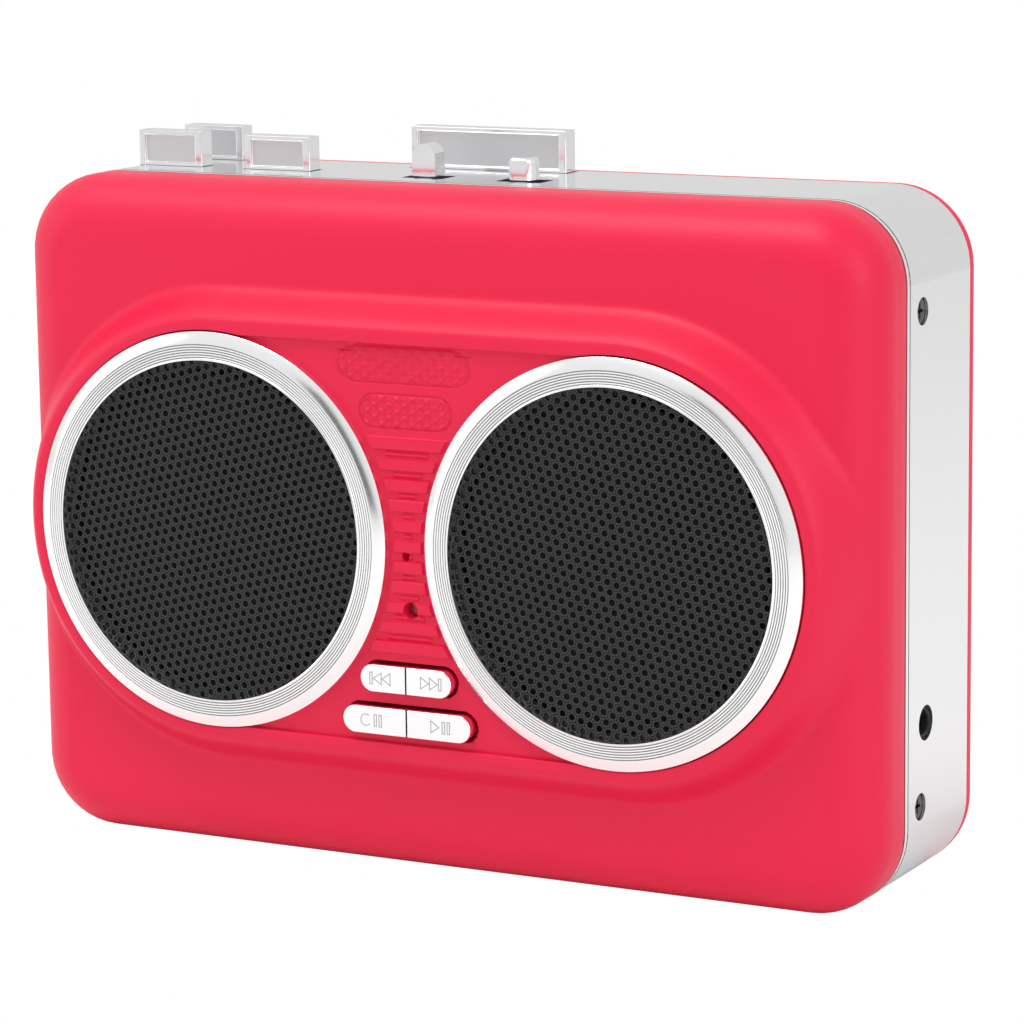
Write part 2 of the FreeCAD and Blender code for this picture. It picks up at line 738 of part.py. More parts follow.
def drive_belt():
    y = (belt_y - belt_width / 2, belt_y + belt_width / 2)
    wheels = ((motor_x, motor_z, pulley_groove), (capstan_x, capstan_z, flywheel_groove))
    outer = loop_prism(*[(x, z, r + running + belt_thickness) for x, z, r in wheels], y)
    inner = loop_prism(*[(x, z, r + running) for x, z, r in wheels], y)
    return outer.cut(inner)


def reel_spindle(side):
    """A drive wheel in front of the deck and a finned hub behind it."""
    x = side * reel_spacing / 2
    wheel = rod("y", (x, reel_height), reel_wheel, (wheel_front_y, wheel_back_y))
    hub = rod("y", (x, reel_height), spindle_radius, (wheel_back_y, spindle_tip_y))
    fins = []
    for index in range(3):
        fin = box((x, x + spindle_radius + 1.1), (deck_back_y + 1.0, spindle_tip_y - 0.6),
                  (reel_height - 0.5, reel_height + 0.5))
        fin.rotate(FreeCAD.Vector(x, 0, reel_height), FreeCAD.Vector(0, 1, 0), 120 * index)
        fins.append(fin)
    collar = rod("y", (x, reel_height), spindle_radius + 1.6, (deck_back_y + 0.2, deck_back_y + 1.0))
    return wheel.fuse([hub, collar] + fins).removeSplitter()


def takeup_idler():
    wheel = rod("y", idler_at, idler_radius, (wheel_front_y, wheel_back_y))
    return wheel.fuse(rod("y", idler_at, shaft_radius, (wheel_back_y, deck_back_y)))


def head_plate():
    y = (deck_back_y + clearance, deck_back_y + clearance + 1.0)
    plate = box((-8.0, 7.5), y, (bay_top + 0.8, head_top))
    lug = box((-8.0, 3.0), (y[1], rear_key_row + 2.0), (head_top - 1.2, head_top))
    shelf = box((-4.0, 4.0), (y[1], tape_y - 3.1), (bay_top + 2.0, bay_top + 6.0))
    return plate.fuse([lug, shelf]).removeSplitter()


def play_head():
    y = (tape_y - 3.1, tape_y + 3.1)
    head = box((-6, 6), y, (bay_top + 0.8, bay_top + 7.2))
    return head.makeFillet(1.5, [e for e in edges_along(head, "y") if e.BoundBox.ZMax < bay_top + 1])


def pinch_arm():
    y = (deck_back_y + clearance, deck_back_y + clearance + 1.2)
    arm = loop_prism((pinch_pivot[0], pinch_pivot[1], 1.45), (pinch_centre[0], pinch_centre[1], 1.45), y)
    post = rod("y", pinch_centre, shaft_radius, (y[1], tape_y + 3.4))
    return arm.fuse(post).cut(rod("y", pinch_pivot, shaft_radius - 0.3 + running, y))


def pinch_roller():
    y = (tape_y - 3.0, tape_y + 3.0)
    return rod("y", pinch_centre, pinch_radius, y).cut(rod("y", pinch_centre, shaft_radius + running, y))


def build():
    os.makedirs("parts", exist_ok=True)
    save("front_cover", front_cover())
    save("middle_frame", middle_frame())
    save("rear_cover", rear_cover())
    save("cassette_door", cassette_door())
    save("door_window", door_window())
    save("door_hinge_pin", rod("x", (hinge_y, hinge_z), hinge_pin, (-door_half - wall, door_half + wall)))
    save("side_screws", *side_screws())
    board_screws = flat_screws(board_bosses, board_back_y, 3.8)
    save("inner_screws", *board_screws, *flat_screws(deck_screws, deck_back_y, 4.5))

    grille = speaker_grille()
    for side, x in (("left", -speaker_x), ("right", speaker_x)):
        sheet = grille.copy()
        sheet.translate(FreeCAD.Vector(x, panel_y - grille_thickness, speaker_z))
        save("speaker_ring_" + side, speaker_ring(x))
        save("speaker_grille_" + side, sheet)
        save("speaker_basket_" + side, speaker_basket(x))
        save("speaker_cone_" + side, speaker_cone(x))
        save("speaker_magnet_" + side, speaker_magnet(x))

    for name in buttons:
        save(name, button(name))
    save("tact_switches", *tact_switches())
    save("button_board", button_board())
    save("indicator_lamp", rod("y", indicator_at, 0.85, (web_back_y - 0.5, button_board_y)))
    save("microphone", rod("y", microphone_at, 2.0, (web_back_y + 0.2, button_board_y)))

    for name in keys:
        save(name, key(name))
        spring_name = name.replace("key", "spring")
        span = (guide_high, flange_low)
        save(spring_name, coil("z", key_spring_place(name), spring_radius, spring_wire, span, spring_turns))
    save("key_guide", key_guide())
    for name in switch_knobs:
        save(name, switch_knob(name))
    save("slide_switches", *[switch_body(name) for name in switch_knobs])

    save("main_board", main_board())
    save("board_chips", *board_chips())
    save("audio_jack", audio_jack())
    save("battery_tray", battery_tray())
    save("battery_cells", *battery_cells())
    save("battery_contacts", *battery_contacts())
    save("battery_lid", battery_lid())

    save("deck_plate", deck_plate())
    save("cassette_well", cassette_well())
    save("flywheel", flywheel())
    save("capstan_shaft", rod("y", (capstan_x, capstan_z), shaft_radius, (flywheel_front_y, capstan_tip_y)))
    save("capstan_bearing", capstan_bearing())
    save("motor_body", motor_body())
    save("motor_pulley", motor_pulley())
    save("drive_belt", drive_belt())
    save("supply_spindle", reel_spindle(-1))
    save("takeup_spindle", reel_spindle(1))
    save("takeup_idler", takeup_idler())
    save("head_plate", head_plate())
    save("play_head", play_head())
    save("pinch_arm", pinch_arm())
    save("pinch_roller", pinch_roller())


build()
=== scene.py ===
# %% [markdown]
# # A portable cassette player with two round speakers
# The engineering model of the player is already made: every shaft, key and shell has its place. This
# lesson dresses it. We load that model as a fixed frame, build the visible skins as numpy surfaces
# around it, and give every piece a finish. Nothing is moved by eye: each place is read from the frame.

# %% Load the frame
import json
import math

import bpy
import numpy as np
from mathutils import Matrix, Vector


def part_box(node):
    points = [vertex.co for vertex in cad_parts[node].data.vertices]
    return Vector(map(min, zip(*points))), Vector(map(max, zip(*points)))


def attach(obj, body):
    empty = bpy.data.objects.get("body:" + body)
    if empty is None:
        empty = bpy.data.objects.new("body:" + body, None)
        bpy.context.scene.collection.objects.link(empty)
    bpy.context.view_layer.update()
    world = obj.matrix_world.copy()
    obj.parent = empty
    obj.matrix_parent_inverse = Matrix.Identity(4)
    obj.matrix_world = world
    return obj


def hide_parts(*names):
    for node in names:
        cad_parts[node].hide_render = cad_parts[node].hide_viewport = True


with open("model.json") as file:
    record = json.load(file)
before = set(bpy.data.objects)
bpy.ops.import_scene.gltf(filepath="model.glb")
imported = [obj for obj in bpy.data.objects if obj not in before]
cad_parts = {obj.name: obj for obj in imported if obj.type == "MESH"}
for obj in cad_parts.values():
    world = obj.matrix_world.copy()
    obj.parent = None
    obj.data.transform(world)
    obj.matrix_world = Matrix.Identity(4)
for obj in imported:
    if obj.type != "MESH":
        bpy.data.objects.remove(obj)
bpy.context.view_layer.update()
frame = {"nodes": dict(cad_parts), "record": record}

MM = 0.001


# %% [markdown]
# The pieces below are worked out in millimetres, because that is how such a product is drawn. These
# values are read from the frame, so that every skin lies where the engineering model says.

# %% Sizes read from the frame
def span(node):
    """Lowest and highest corner of a node, in millimetres."""
    low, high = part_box(node)
    return np.array(low) / MM, np.array(high) / MM


band_low, band_high = span("middle_frame")
ring_low, ring_high = span("speaker_ring_right")
cover_low, cover_high = span("front_cover")
half_wide = band_high[0]
case_top = band_high[2]
mid_z = case_top / 2
band_front = band_low[1]
ring_x = (ring_low[0] + ring_high[0]) / 2
ring_radius = (ring_high[0] - ring_low[0]) / 2
lip_y = ring_low[1]
rim_y = cover_low[1]
panel_y = ring_high[1]
face_y = rim_y + 4.8
corner = 10.0
edge_round = 7.0
rim_reach = 26.6
foot_reach = 31.0
rim_crease = 0.3
panel_reach = 25.05
grille_radius = 21.7
web_radius = 20.9
print(f"case {2 * half_wide:.1f} x {case_top:.1f} mm")
print(f"speakers at x = {ring_x:.2f} mm, rim at y = {rim_y:.2f} mm")

# %% [markdown]
# ## Helpers for surfaces
# A surface is a grid of points: one number runs along it, another across. Numpy works all the points out at
# once, and the faces follow from the grid's size alone. That keeps every shape a formula, and it is quick.


# %% Mesh helpers
def put_mesh(name, points, *face_sets, material, body="case", smooth_below=35.0):
    """A mesh piece from points in millimetres and arrays of triangles or quads."""
    mesh = bpy.data.meshes.new(name)
    points = np.asarray(points, dtype=np.float64).reshape(-1, 3) * MM
    faces = [face for face_set in face_sets for face in np.asarray(face_set).tolist()]
    mesh.from_pydata(points.tolist(), [], faces)
    mesh.polygons.foreach_set("use_smooth", [True] * len(mesh.polygons))
    mesh.set_sharp_from_angle(angle=math.radians(smooth_below))
    mesh.materials.append(material)
    piece = bpy.data.objects.new(name, mesh)
    bpy.context.collection.objects.link(piece)
    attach(piece, body)
    print(f"{name}: {len(points)} points, {len(faces)} faces")
    return piece


def grid_faces(rows, columns, closed=False, flip=False):
    """Quads between neighbouring grid points. A closed grid joins its last column to its first."""
    last = columns if closed else columns - 1
    row, column = np.meshgrid(np.arange(rows - 1), np.arange(last), indexing="ij")
    beside = (column + 1) % columns
    quads = np.stack([row * columns + column, row * columns + beside,
                      (row + 1) * columns + beside, (row + 1) * columns + column], axis=-1).reshape(-1, 4)
    return quads[:, ::-1] if flip else quads


def turned(profile, centre, steps=160):
    """Points of a shape turned about the Y axis: each (radius, y) of the profile swept round a circle."""
    profile = np.asarray(profile, dtype=float)
    angle = np.linspace(0, 2 * np.pi, steps, endpoint=False)
    radius, y = profile[:, :1], profile[:, 1:]
    return np.stack([centre[0] + radius * np.cos(angle), y + 0 * angle,
                     centre[1] + radius * np.sin(angle)], axis=-1)


def smooth_step(value):
    """0 below 0, 1 above 1, and an S-curve between."""
    value = np.clip(value, 0, 1)
    return value * value * (3 - 2 * value)


# %% [markdown]
# ## Finishes
# Real mouldings are never one flat colour. A spark-eroded mould leaves a fine grain, plated plastic
# ripples very slightly, and handling leaves faint uneven gloss. Two small node groups make those
# effects, and each material places them with its own values. A group gives out only colours, values and
# normals. The shader stays in the material.


# %% Node group helper
def node_group(name, inputs, outputs):
    """An empty group with named sockets. inputs and outputs map a name to a kind and a default."""
    group = bpy.data.node_groups.new(name, "ShaderNodeTree")
    for socket_name, (kind, default) in inputs.items():
        socket = group.interface.new_socket(socket_name, in_out="INPUT", socket_type="NodeSocket" + kind)
        socket.default_value = default
    for socket_name, kind in outputs.items():
        group.interface.new_socket(socket_name, in_out="OUTPUT", socket_type="NodeSocket" + kind)
    return group, group.nodes.new("NodeGroupInput"), group.nodes.new("NodeGroupOutput")


def add(tree, kind, **values):
    """A node with its properties and socket defaults set by name."""
    node = tree.nodes.new("ShaderNode" + kind)
    for key, value in values.items():
        if key in node.inputs:
            node.inputs[key].default_value = value
        else:
            setattr(node, key, value)
    return node


# %% Grain group
def make_grain():
    """Mould grain: noise at two scales, one for tiny pits and one for slow changes of shade."""
    group, given, out = node_group(
        "mould_grain",
        {"Colour": ("Color", (0.5, 0.5, 0.5, 1)), "Shade": ("Float", 0.04),
         "Pits per metre": ("Float", 2500.0),
         "Depth": ("Float", 0.1), "Roughness": ("Float", 0.4), "Gloss change": ("Float", 0.05)},
        {"Colour": "Color", "Roughness": "Float", "Normal": "Vector"})
    links = group.links
    place = add(group, "TexCoord")
    pits = add(group, "TexNoise", Detail=3.0, Roughness=0.6)
    clouds = add(group, "TexNoise", Scale=45.0, Detail=4.0)
    links.new(place.outputs["Object"], pits.inputs["Vector"])
    links.new(place.outputs["Object"], clouds.inputs["Vector"])
    links.new(given.outputs["Pits per metre"], pits.inputs["Scale"])
    swing = add(group, "Math", operation="SUBTRACT")
    swing.inputs[1].default_value = 0.5
    links.new(clouds.outputs[0], swing.inputs[0])
    shade = add(group, "Math", operation="MULTIPLY_ADD")
    links.new(swing.outputs[0], shade.inputs[0])
    links.new(given.outputs["Shade"], shade.inputs[1])
    shade.inputs[2].default_value = 1.0
    tint = add(group, "VectorMath", operation="SCALE")
    links.new(given.outputs["Colour"], tint.inputs[0])
    links.new(shade.outputs[0], tint.inputs["Scale"])
    links.new(tint.outputs[0], out.inputs["Colour"])
    gloss = add(group, "Math", operation="MULTIPLY_ADD")
    links.new(swing.outputs[0], gloss.inputs[0])
    links.new(given.outputs["Gloss change"], gloss.inputs[1])
    links.new(given.outputs["Roughness"], gloss.inputs[2])
    links.new(gloss.outputs[0], out.inputs["Roughness"])
    bump = add(group, "Bump", Distance=0.0001)
    links.new(given.outputs["Depth"], bump.inputs["Strength"])
    links.new(pits.outputs[0], bump.inputs["Height"])
    links.new(bump.outputs[0], out.inputs["Normal"])
    return group


# %% Ripple and brushing group
def make_ripple():
    """Stretched noise: with a long stretch it is brushing, with none it is the slow ripple of plating."""
    group, given, out = node_group(
        "surface_ripple",
        {"Roughness": ("Float", 0.1), "Gloss change": ("Float", 0.05), "Depth": ("Float", 0.1),
         "Stretch": ("Vector", (1.0, 1.0, 1.0)), "Lines per metre": ("Float", 100.0)},
        {"Roughness": "Float", "Normal": "Vector"})
    links = group.links
    place = add(group, "TexCoord")
    stretch = add(group, "VectorMath", operation="MULTIPLY")
    links.new(place.outputs["Object"], stretch.inputs[0])
    links.new(given.outputs["Stretch"], stretch.inputs[1])
    noise = add(group, "TexNoise", Detail=2.0)
    links.new(stretch.outputs[0], noise.inputs["Vector"])
    links.new(given.outputs["Lines per metre"], noise.inputs["Scale"])
    gloss = add(group, "Math", operation="MULTIPLY_ADD")
    links.new(noise.outputs[0], gloss.inputs[0])
    links.new(given.outputs["Gloss change"], gloss.inputs[1])
    links.new(given.outputs["Roughness"], gloss.inputs[2])
    links.new(gloss.outputs[0], out.inputs["Roughness"])
    bump = add(group, "Bump", Distance=0.0002)
    links.new(given.outputs["Depth"], bump.inputs["Strength"])
    links.new(noise.outputs[0], bump.inputs["Height"])
    links.new(bump.outputs[0], out.inputs["Normal"])
    return group


grain_group = make_grain()
ripple_group = make_ripple()


# %% Materials
def moulded(name, colour, roughness, pits=2500.0, depth=0.1, shade=0.05, gloss=0.06, **shader_values):
    """A moulded or painted surface: plain shader, grain from the group."""
    material = bpy.data.materials.new(name)
    material.use_nodes = True
    tree = material.node_tree
    shader = tree.nodes["Principled BSDF"]
    grain = tree.nodes.new("ShaderNodeGroup")
    grain.node_tree = grain_group
    for socket, value in {"Colour": (*colour, 1), "Shade": shade, "Pits per metre": pits, "Depth": depth,
                          "Roughness": roughness, "Gloss change": gloss}.items():
        grain.inputs[socket].default_value = value
    tree.links.new(grain.outputs["Colour"], shader.inputs["Base Color"])
    tree.links.new(grain.outputs["Roughness"], shader.inputs["Roughness"])
    tree.links.new(grain.outputs["Normal"], shader.inputs["Normal"])
    for socket, value in shader_values.items():
        shader.inputs[socket.replace("_", " ")].default_value = value
    return material


def metal(name, colour, roughness, lines=100.0, stretch=(1, 1, 1), depth=0.05, gloss=0.04):
    """Plated or bare metal: the ripple group changes its gloss and bends its reflections a little."""
    material = bpy.data.materials.new(name)
    material.use_nodes = True
    tree = material.node_tree
    shader = tree.nodes["Principled BSDF"]
    shader.inputs["Base Color"].default_value = (*colour, 1)
    shader.inputs["Metallic"].default_value = 1.0
    ripple = tree.nodes.new("ShaderNodeGroup")
    ripple.node_tree = ripple_group
    for socket, value in {"Roughness": roughness, "Gloss change": gloss, "Depth": depth, "Stretch": stretch,
                          "Lines per metre": lines}.items():
        ripple.inputs[socket].default_value = value
    tree.links.new(ripple.outputs["Roughness"], shader.inputs["Roughness"])
    tree.links.new(ripple.outputs["Normal"], shader.inputs["Normal"])
    return material


def clear(name, colour, roughness):
    """Clear acrylic."""
    material = moulded(name, colour, roughness, depth=0.01, gloss=0.02)
    shader = material.node_tree.nodes["Principled BSDF"]
    shader.inputs["Transmission Weight"].default_value = 1.0
    shader.inputs["IOR"].default_value = 1.49
    return material


finish = {
    "red_shell": moulded("red_shell", (0.79, 0.008, 0.058), 0.42, pits=2200.0, depth=0.22,
                          Specular_IOR_Level=0.35),
    "chrome_band": metal("chrome_band", (0.90, 0.90, 0.91), 0.13, lines=60.0, depth=0.10),
    "key_chrome": metal("key_chrome", (0.90, 0.90, 0.91), 0.09, lines=300.0, depth=0.10),
    "ring_metal": metal("ring_metal", (0.98, 0.98, 0.98), 0.16, lines=200.0, depth=0.03),
    "grille_steel": moulded("grille_steel", (0.045, 0.045, 0.048), 0.36, pits=3000.0, depth=0.15,
                             Metallic=0.55),
    "black_plastic": moulded("black_plastic", (0.018, 0.018, 0.020), 0.45, pits=2500.0, depth=0.2),
    "cone_paper": moulded("cone_paper", (0.02, 0.02, 0.021), 0.75, pits=1500.0, depth=0.5),
    "bright_steel": metal("bright_steel", (0.62, 0.63, 0.65), 0.28, lines=350.0, stretch=(1, 1, 12),
                          gloss=0.12),
    "dark_magnet": moulded("dark_magnet", (0.09, 0.09, 0.10), 0.35, Metallic=0.8),
    "board_green": moulded("board_green", (0.02, 0.13, 0.06), 0.35, pits=700.0, depth=0.1),
    "chip_black": moulded("chip_black", (0.02, 0.02, 0.022), 0.5, depth=0.3),
    "rubber_black": moulded("rubber_black", (0.015, 0.015, 0.015), 0.7, pits=1500.0, depth=0.4),
    "white_plastic": moulded("white_plastic", (0.78, 0.78, 0.75), 0.38, depth=0.1),
    "brass_bush": metal("brass_bush", (0.75, 0.55, 0.24), 0.25, lines=300.0),
    "clear_window": clear("clear_window", (0.93, 0.95, 0.96), 0.03),
    "cell_wrap": moulded("cell_wrap", (0.05, 0.07, 0.10), 0.3, depth=0.05, Metallic=0.4),
    "lamp_lens": clear("lamp_lens", (0.9, 0.9, 0.85), 0.12),
    "screw_steel": metal("screw_steel", (0.45, 0.46, 0.48), 0.25, lines=500.0, gloss=0.15),
    "dark_screw": metal("dark_screw", (0.10, 0.10, 0.105), 0.28, lines=500.0, gloss=0.1),
}
flat_black = moulded("flat_black", (0.006, 0.006, 0.006), 0.6)
node_slots = {entry["node"]: entry["material_slot"] for entry in frame["record"]["subparts"]}
for node_name, node in frame["nodes"].items():
    node.data.materials.clear()
    node.data.materials.append(finish[node_slots[node_name]])
print("finishes:", ", ".join(finish))

# %% [markdown]
# ## Front cover
# The red cover has a raised pod with the outline of two circles joined by straight lines. Points are
# easiest to place in "pod coordinates": walk round the middle line of the pod, and step outwards by a
# distance. At every step the height is known from two formulas, the rounded edge of the box and the
# S-shaped side of the pod.


# %% Pod coordinates
def pod_walk(straight=60, arc=120):
    """Start point on the pod's middle line and outward angle: top, right end, bottom, left end."""
    along = np.linspace(-ring_x, ring_x, straight, endpoint=False)
    turn = np.linspace(np.pi / 2, -np.pi / 2, arc, endpoint=False)
    start = np.concatenate([along, np.full(arc, ring_x), -along, np.full(arc, -ring_x)])
    angle = np.concatenate([np.full(straight, np.pi / 2), turn, np.full(straight, -np.pi / 2), turn - np.pi])
    return start, angle


def inside_distance(x, z):
    """How far a point is inside the case's rounded-rectangle outline."""
    side = np.abs(x) - (half_wide - corner)
    rise = np.abs(z - mid_z) - (mid_z - corner)
    outside = np.hypot(np.maximum(side, 0), np.maximum(rise, 0))
    return corner - outside - np.minimum(np.maximum(side, rise), 0)


def outline_reach(start, angle):
    """Distance from the middle line to the outline along each angle, found by halving the interval."""
    low, high = np.zeros_like(start), np.full_like(start, 3 * half_wide)
    for _ in range(40):
        middle = (low + high) / 2
        inside = inside_distance(start + middle * np.cos(angle), mid_z + middle * np.sin(angle)) > 0
        low, high = np.where(inside, middle, low), np.where(inside, high, middle)
    return low


def cover_y(x, z, reach):
    """Height of the cover: a quarter circle at the box's edge, blended into the pod by an S-curve whose top
    starts with a slight slope, so that a faint crease runs round the rim."""
    inset = np.clip(inside_distance(x, z), 0, edge_round)
    base = face_y + edge_round - np.sqrt(edge_round ** 2 - (edge_round - inset) ** 2)
    share = np.clip((reach - rim_reach) / (foot_reach - rim_reach), 0, 1)
    fall = smooth_step(share) + rim_crease * share * (1 - share) ** 2
    return rim_y + (base - rim_y) * fall


# %% Cover skin
def ring_gap_reach(start, angle):
    """Distance from the middle line to the recess: the ring's circle, or the panel's straight edge."""
    circle = np.sqrt(np.maximum((ring_radius + 0.12) ** 2 - (ring_x - np.abs(start)) ** 2, 0))
    on_end = np.abs(start) > ring_x - 1e-6
    return np.where(on_end, ring_radius + 0.12, np.maximum(circle, panel_reach))


def front_skin():
    """Rows of the cover from the recess's floor, over the rim and down the slope, to the edge at the band."""
    start, angle = pod_walk()
    edge = outline_reach(start, angle)
    gap = ring_gap_reach(start, angle)
    rows = []

    def row(reach, y=None, inset=0.0):
        x = start + (reach - inset) * np.cos(angle)
        z = mid_z + (reach - inset) * np.sin(angle)
        rows.append(np.stack([x, cover_y(x, z, reach) if y is None else np.full_like(x, y), z], axis=-1))

    row(gap, panel_y + 0.35)
    row(gap, rim_y + 0.14)
    row(gap + 0.05, rim_y + 0.04)
    row(gap + 0.15, rim_y)
    row(np.full_like(gap, rim_reach), rim_y)
    for share in np.sin(np.linspace(0, np.pi / 2, 80))[1:]:
        row(rim_reach + (edge - rim_reach) * share)
    for y in (band_front - 2.0, band_front - 0.35):
        row(edge, y)
    row(edge, band_front - 0.1, 0.12)
    row(edge, band_front - 0.02, 0.5)
    points = np.stack(rows)
    piece = put_mesh("front_shell", points, grid_faces(len(rows), len(start), closed=True),
                     material=finish["red_shell"], smooth_below=50)
    wall = piece.modifiers.new("wall", "SOLIDIFY")
    wall.thickness = 1.1 * MM
    wall.offset = -1.0
    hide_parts("front_cover")
    return piece


front_shell = front_skin()

# %% [markdown]
# ## The panel between the speakers
# This narrow strip carries most of the small relief: eleven raised bars with slanted ends, thin ribs
# between them, two lozenges with a scale pattern, two holes and the wells of the buttons. All of it is
# one height formula on one fine grid, so each edge is real geometry that catches the light.


# %% Relief formulas
def step_in(distance, soft=0.16):
    """1 inside a shape, 0 outside, given the distance to its edge (negative inside)."""
    return smooth_step(0.5 - distance / soft)


def pill_distance(x, z, centre, half_length, radius):
    """Distance to a bar with round ends."""
    along = np.maximum(np.abs(x - centre[0]) - (half_length - radius), 0)
    return np.hypot(along, z - centre[1]) - radius


def strip_half(z, margin):
    """Half the free width between the two rings at a height."""
    return ring_x - np.sqrt(np.maximum((ring_radius + margin) ** 2 - (z - mid_z) ** 2, 0))


def scales(x, z, centre, wide=2.1, tall=1.55):
    """Crossing diagonal lines with a dimple in each cell, like fish scales."""
    u = (x - centre[0]) / wide
    v = (z - centre[1]) / tall
    first = np.abs((u + v) % 1 - 0.5)
    second = np.abs((u - v) % 1 - 0.5)
    line = 1 - smooth_step(np.minimum(first, second) / 0.12)
    crown = np.cos(2 * np.pi * (u + v)) * np.cos(2 * np.pi * (u - v))
    return 0.16 * line + 0.09 * crown


bar_top, bar_bottom, bar_count, bar_tall = 55.93, 30.38, 11, 1.5
lozenges = (((-0.33, 65.65), 9.2, 2.25), ((-0.2, 59.9), 6.4, 2.1))
pin_holes = (((-0.4, 41.9), 0.5), ((0.3, 35.2), 0.95))
button_rows = ((26.5, 6.4), (21.1, 9.0))
button_radius = 1.75
well_deep = 1.9


def panel_relief(x, z):
    """Height above the panel, in millimetres: the sum of its bars, ribs, lozenges, holes and wells."""
    pitch = (bar_top - bar_bottom) / (bar_count - 1)
    index = np.clip(np.round((bar_top - z) / pitch), 0, bar_count - 1)
    offset = z - (bar_top - index * pitch)
    bar = np.maximum(np.abs(offset) - bar_tall / 2, np.abs(x) - strip_half(z, 0.8))
    height = 0.42 * step_in(bar, 0.12)
    gap_index = np.clip(np.floor((bar_top - z) / pitch), 0, bar_count - 2)
    rib_offset = z - (bar_top - (gap_index + 0.5) * pitch)
    rib = np.maximum(np.abs(rib_offset) - 0.2, np.abs(x) - strip_half(z, 2.2))
    height = height + 0.24 * step_in(rib, 0.14)
    for centre, half_length, radius in lozenges:
        edge = pill_distance(x, z, centre, half_length, radius)
        height = height + step_in(edge + 0.15) * scales(x, z, centre) - 0.16 * step_in(np.abs(edge) - 0.12)
    top_line = np.maximum(np.abs(z - 68.0) - 0.06, np.abs(x) - 7.2)
    height = height + 0.12 * step_in(top_line, 0.12)
    for centre, radius in pin_holes:
        hole = np.hypot(x - centre[0], z - centre[1]) - radius
        height = np.where(hole < 0.05, height * (1 - step_in(hole)) - 1.4 * step_in(hole), height)
    for centre_z, reach in button_rows:
        well = pill_distance(x, z, (0, centre_z), reach + 0.2, button_radius + 0.2)
        height = height * (1 - step_in(well)) - well_deep * step_in(well, 0.1)
    return height


# %% Panel piece
def front_panel():
    """A grid as wide as the free strip between the rings, lifted by the relief's height at each point."""
    low_z, high_z = mid_z - panel_reach - 0.12, mid_z + panel_reach + 0.12
    z = np.linspace(low_z, high_z, 400)[:, None]
    half = np.minimum(strip_half(z, -1.3), ring_x)
    x = half * np.sin(np.linspace(-1, 1, 240) * np.pi / 2 * 0.86) / math.sin(np.pi / 2 * 0.86)
    z = z + 0 * x
    points = np.stack([x, panel_y - panel_relief(x, z), z], axis=-1)
    piece = put_mesh("front_panel", points, grid_faces(400, 240, flip=True),
                     material=finish["red_shell"], smooth_below=60)
    return piece


panel = front_panel()

# %% [markdown]
# ## Speaker seats, rings and grilles
# A ring is a turned profile: a polished slope outside, then six fine grooves, then a lip. The grille is
# punched sheet. Each hole is one small tile, a hexagon with a round hole and a rolled edge, and the
# tile is copied to a honeycomb of places by one array sum.

# %% Turned pieces
side_x = {"left": -ring_x, "right": ring_x}
for side, x in side_x.items():
    seat_profile = [(ring_radius + 0.05, panel_y + 0.4), (ring_radius + 0.05, panel_y + 0.06),
                    (web_radius + 0.1, panel_y + 0.06), (web_radius, panel_y + 0.16),
                    (web_radius, panel_y + 1.6)]
    seat = put_mesh("speaker_seat_" + side, turned(seat_profile, (x, mid_z)),
                    grid_faces(len(seat_profile), 160, closed=True), material=finish["black_plastic"])


bevel_wide = 1.45
groove_count = 6
groove_wide = 0.13


def groove_edges():
    """Outer radius of each fine groove, spread evenly between the slope and the inner lip."""
    step = (ring_radius - bevel_wide - grille_radius - 0.25) / groove_count
    return ring_radius - bevel_wide - (np.arange(groove_count) + 0.3) * step


def ring_profile():
    """Radius and y of the ring, from its foot outside over the slope and grooves to its foot inside."""
    shoulder = ring_radius - 0.18
    slope_end = ring_radius - bevel_wide
    profile = [(ring_radius, panel_y), (ring_radius, rim_y - 0.05),
               (ring_radius - 0.05, rim_y - 0.22), (shoulder, rim_y - 0.32)]
    profile += [(slope_end + 0.1, lip_y + 0.16), (slope_end, lip_y + 0.12)]
    for outer_edge in groove_edges():
        profile += [(outer_edge, lip_y + 0.10), (outer_edge - 0.04, lip_y + 0.19),
                    (outer_edge - groove_wide, lip_y + 0.19), (outer_edge - groove_wide - 0.04, lip_y + 0.10)]
    inner = grille_radius + 0.25
    profile += [(inner, lip_y + 0.05), (inner - 0.12, lip_y), (grille_radius + 0.03, lip_y + 0.04),
                (grille_radius, lip_y + 0.14), (grille_radius, panel_y - 0.1)]
    return profile


# Painted shade: this dark metal lines the bottoms of the rings' fine grooves and darkens them where shade falls.
groove_painted_shade = metal("groove_painted_shade", (0.30, 0.30, 0.305), 0.35)
for side, x in side_x.items():
    profile = ring_profile()
    ring = put_mesh("ring_" + side, turned(profile, (x, mid_z), 256),
                    grid_faces(len(profile), 256, closed=True),
                    material=finish["ring_metal"], smooth_below=28)
    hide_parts("speaker_ring_" + side)
    # Thin strips of the dark metal at each groove bottom, the painted shade in the grooves.
    groove_shade_strips = [turned([(edge - 0.03, lip_y + 0.17), (edge - groove_wide - 0.01, lip_y + 0.17)], (x, mid_z), 192)
            for edge in groove_edges()]
    groove_shade_strip_faces = [grid_faces(2, 192, closed=True) + 384 * index for index in range(groove_count)]
    groove_shade_piece = put_mesh("ring_groove_painted_shade_" + side, np.stack(groove_shade_strips), *groove_shade_strip_faces, material=groove_painted_shade)


